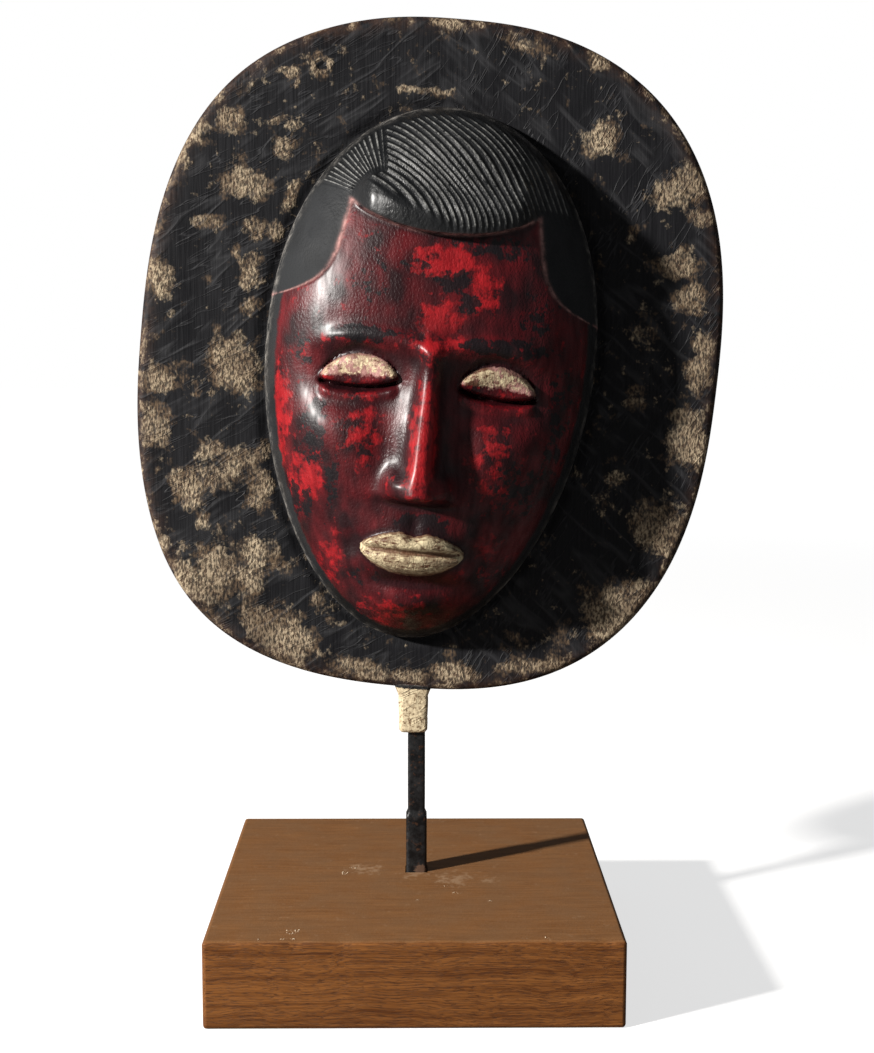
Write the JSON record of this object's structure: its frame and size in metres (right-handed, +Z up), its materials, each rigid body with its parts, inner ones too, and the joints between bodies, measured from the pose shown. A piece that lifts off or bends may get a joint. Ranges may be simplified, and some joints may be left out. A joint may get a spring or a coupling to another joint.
{
  "type": "carved african tribal mask on a stand",
  "caption": "Carved and painted wooden face mask in relief on a rounded disc, held up by a square iron bar in a wooden block.",
  "frame": {"origin": "centre of the wooden block's underside, where the object stands", "axes": "+Z up along the iron bar, -Y out of the mask's face, +X to the right for someone who looks at the face"},
  "size_m": [0.2863, 0.1912, 0.4624],
  "materials": {
    "painted_wood": "satin, charcoal black with worn cream, the face in red and dark wine lacquer",
    "black_iron": "matte black",
    "brown_wood": "matte, dusty brown"
  },
  "bodies": {
    "root": {"mask": "painted_wood", "stand_bar": "black_iron", "base_block": "brown_wood"}
  },
  "joints": []
}
